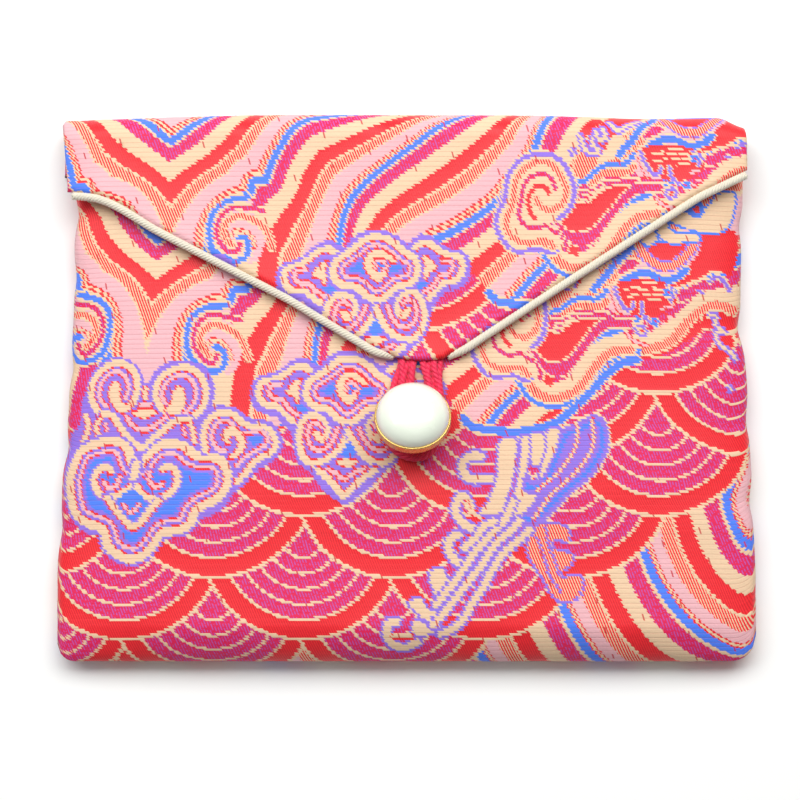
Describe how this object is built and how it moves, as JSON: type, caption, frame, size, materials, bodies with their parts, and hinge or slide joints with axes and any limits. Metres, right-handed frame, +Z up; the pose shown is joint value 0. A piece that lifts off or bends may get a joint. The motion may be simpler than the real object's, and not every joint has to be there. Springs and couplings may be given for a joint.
{
  "type": "jewelry pouch",
  "caption": "Flat envelope pouch of woven brocade with a pointed, cord-edged flap that a thread loop holds to a domed button.",
  "frame": {"origin": "centre of the back panel's resting face, at the bottom middle of the bounding box", "axes": "+X along the pouch's width, +Y from the bottom fold to the top fold, +Z up from the back panel to the button"},
  "size_m": [0.12, 0.095, 0.0189],
  "materials": {
    "brocade": "satin jacquard weave in red, cream, pink, blue and violet",
    "cream_cord": "twisted soft cord",
    "crimson_thread": "bundle of glossy parallel threads",
    "gold_metal": "polished gold plate",
    "white_glaze": "glossy white glaze"
  },
  "bodies": {
    "root": {"pouch_body": "brocade", "flap": "brocade", "piping_left": "cream_cord", "piping_right": "cream_cord", "button_loop": "crimson_thread", "button_setting": "gold_metal", "button_cabochon": "white_glaze"}
  },
  "joints": []
}
